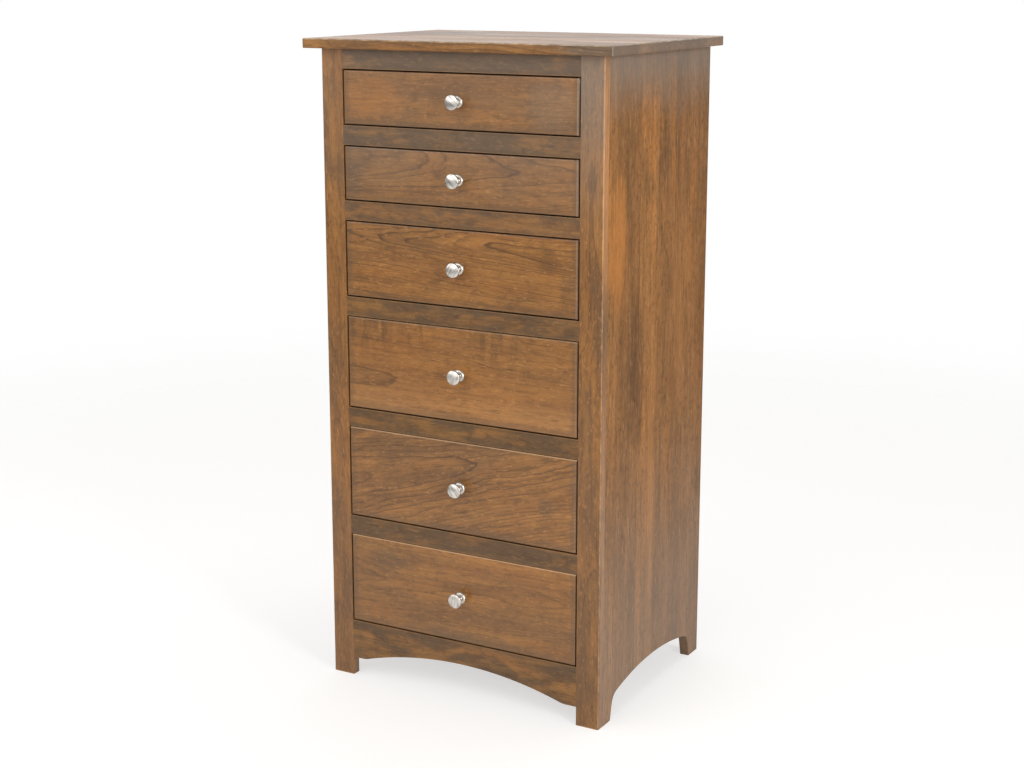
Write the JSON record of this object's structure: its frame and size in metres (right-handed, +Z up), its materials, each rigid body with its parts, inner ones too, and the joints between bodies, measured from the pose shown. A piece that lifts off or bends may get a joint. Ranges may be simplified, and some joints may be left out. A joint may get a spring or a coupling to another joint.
{
  "type": "chest of drawers",
  "caption": "Tall narrow chest of drawers in stained solid wood, with inset drawers on wooden runners, round metal knobs, bracket feet and arched apron and sides.",
  "frame": {"origin": "on the floor, at the middle of the bounding box", "axes": "+Z up, -Y out of the front of the drawers, +X to the right of someone who faces the front"},
  "size_m": [0.664, 0.5, 1.295],
  "materials": {
    "stained_wood": "satin brown stain with open grain",
    "pale_wood": "clear satin",
    "plywood": "clear satin",
    "nickel": "satin nickel",
    "steel": "zinc plated"
  },
  "bodies": {
    "carcase": {"top_panel": "stained_wood", "side_left": "stained_wood", "side_right": "stained_wood", "stile_left": "stained_wood", "stile_right": "stained_wood", "top_rail": "stained_wood", "rail_1": "stained_wood", "rail_2": "stained_wood", "rail_3": "stained_wood", "rail_4": "stained_wood", "rail_5": "stained_wood", "apron": "stained_wood", "back_panel": "plywood", "back_rails": "pale_wood", "runners": "pale_wood", "drawer_stops": "pale_wood", "top_cleats": "pale_wood", "screws": "steel"},
    "drawer_1": {"drawer_1_front": "stained_wood", "drawer_1_side_left": "pale_wood", "drawer_1_side_right": "pale_wood", "drawer_1_back": "pale_wood", "drawer_1_bottom": "plywood", "drawer_1_knob": "nickel", "drawer_1_knob_screw": "steel"},
    "drawer_2": {"drawer_2_front": "stained_wood", "drawer_2_side_left": "pale_wood", "drawer_2_side_right": "pale_wood", "drawer_2_back": "pale_wood", "drawer_2_bottom": "plywood", "drawer_2_knob": "nickel", "drawer_2_knob_screw": "steel"},
    "drawer_3": {"drawer_3_front": "stained_wood", "drawer_3_side_left": "pale_wood", "drawer_3_side_right": "pale_wood", "drawer_3_back": "pale_wood", "drawer_3_bottom": "plywood", "drawer_3_knob": "nickel", "drawer_3_knob_screw": "steel"},
    "drawer_4": {"drawer_4_front": "stained_wood", "drawer_4_side_left": "pale_wood", "drawer_4_side_right": "pale_wood", "drawer_4_back": "pale_wood", "drawer_4_bottom": "plywood", "drawer_4_knob": "nickel", "drawer_4_knob_screw": "steel"},
    "drawer_5": {"drawer_5_front": "stained_wood", "drawer_5_side_left": "pale_wood", "drawer_5_side_right": "pale_wood", "drawer_5_back": "pale_wood", "drawer_5_bottom": "plywood", "drawer_5_knob": "nickel", "drawer_5_knob_screw": "steel"},
    "drawer_6": {"drawer_6_front": "stained_wood", "drawer_6_side_left": "pale_wood", "drawer_6_side_right": "pale_wood", "drawer_6_back": "pale_wood", "drawer_6_bottom": "plywood", "drawer_6_knob": "nickel", "drawer_6_knob_screw": "steel"}
  },
  "joints": [
    {"name": "drawer_1_slide", "type": "slide", "parent": "carcase", "child": "drawer_1", "axis": [0, -1, 0], "range_m": [0, 0.33]},
    {"name": "drawer_2_slide", "type": "slide", "parent": "carcase", "child": "drawer_2", "axis": [0, -1, 0], "range_m": [0, 0.33]},
    {"name": "drawer_3_slide", "type": "slide", "parent": "carcase", "child": "drawer_3", "axis": [0, -1, 0], "range_m": [0, 0.33]},
    {"name": "drawer_4_slide", "type": "slide", "parent": "carcase", "child": "drawer_4", "axis": [0, -1, 0], "range_m": [0, 0.33]},
    {"name": "drawer_5_slide", "type": "slide", "parent": "carcase", "child": "drawer_5", "axis": [0, -1, 0], "range_m": [0, 0.33]},
    {"name": "drawer_6_slide", "type": "slide", "parent": "carcase", "child": "drawer_6", "axis": [0, -1, 0], "range_m": [0, 0.33]}
  ]
}
